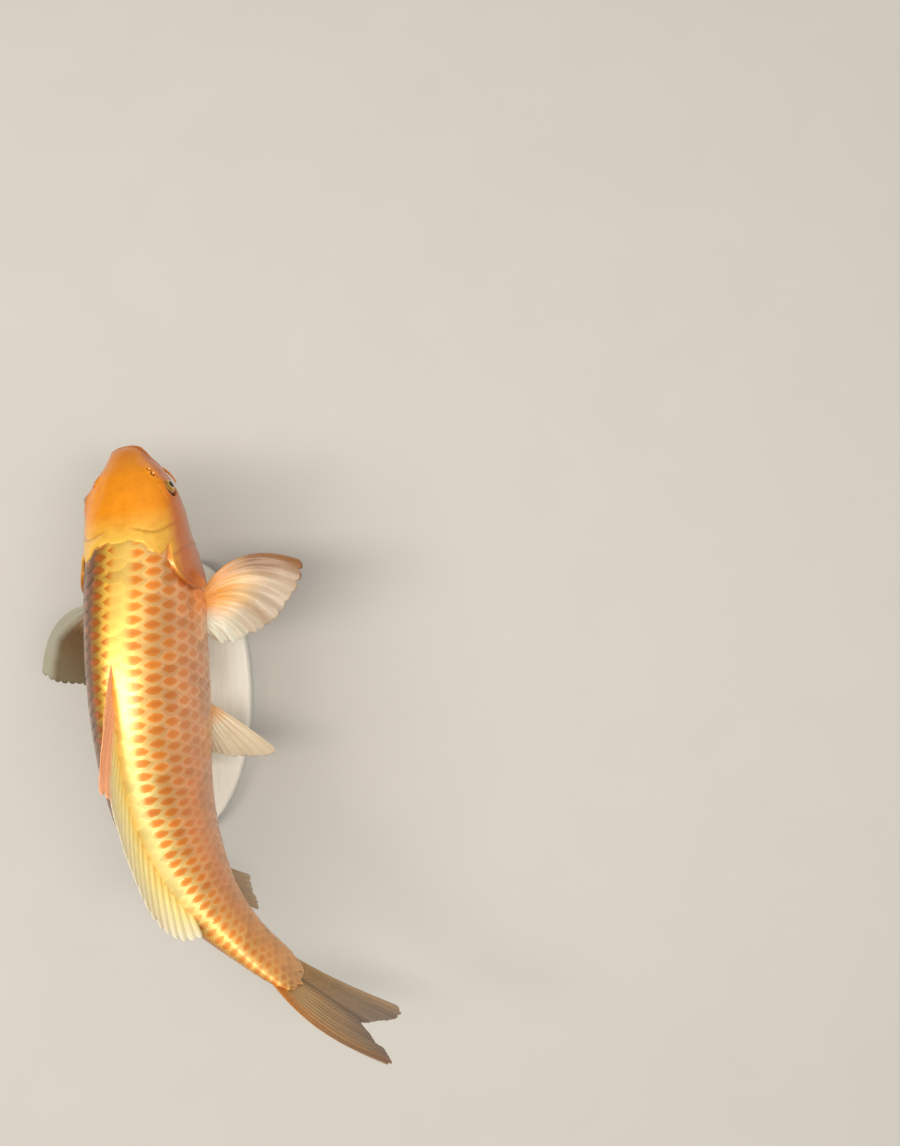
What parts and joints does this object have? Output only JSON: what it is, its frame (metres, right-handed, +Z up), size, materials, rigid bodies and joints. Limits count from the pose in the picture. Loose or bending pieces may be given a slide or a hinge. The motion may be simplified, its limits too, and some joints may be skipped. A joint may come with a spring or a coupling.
{
  "type": "koi carp",
  "caption": "Life-size still model of a golden-orange koi carp, swimming with its tail curved and its fins spread, held above an oval base by short upright rods.",
  "frame": {"origin": "centre of the flat underside of the stand's base, on the floor", "axes": "+Z is up, away from the floor; the snout points to -Y and the tail to +Y, along the longest extent; the fish's right side is towards -X, the side to which the tail bends"},
  "size_m": [0.244, 0.3812, 0.2017],
  "materials": {
    "head_skin": "smooth wet golden-orange skin, cast in resin",
    "scaled_skin": "wet metallic gold skin that carries the scales, cast in resin",
    "eye_glass": "dark clear-coated eyeball with a golden ring",
    "barbel_skin": "smooth wet orange skin",
    "dorsal_membrane": "salmon-orange rayed membrane, cream at the rear tips",
    "tail_membrane": "tan rayed membrane, paler at its edge",
    "paired_fin_membrane": "cream rayed membrane, orange at its base",
    "stand_lacquer": "wood under satin off-white lacquer",
    "stand_steel": "brushed round rod"
  },
  "bodies": {
    "root": {"head": "head_skin", "lower_jaw": "head_skin", "operculum_right": "head_skin", "operculum_left": "head_skin", "eye_right": "eye_glass", "eye_left": "eye_glass", "barbel_right_front": "barbel_skin", "barbel_right_rear": "barbel_skin", "barbel_left_front": "barbel_skin", "barbel_left_rear": "barbel_skin", "fore_trunk": "scaled_skin", "mid_trunk": "scaled_skin", "rear_trunk": "scaled_skin", "tail_peduncle": "scaled_skin", "dorsal_fin": "dorsal_membrane", "anal_fin": "tail_membrane", "caudal_fin_upper": "tail_membrane", "caudal_fin_lower": "tail_membrane", "pectoral_fin_right": "paired_fin_membrane", "pectoral_fin_left": "paired_fin_membrane", "pelvic_fin_right": "paired_fin_membrane", "pelvic_fin_left": "paired_fin_membrane", "stand_base": "stand_lacquer", "stand_rod_front": "stand_steel", "stand_rod_rear": "stand_steel"}
  },
  "joints": []
}
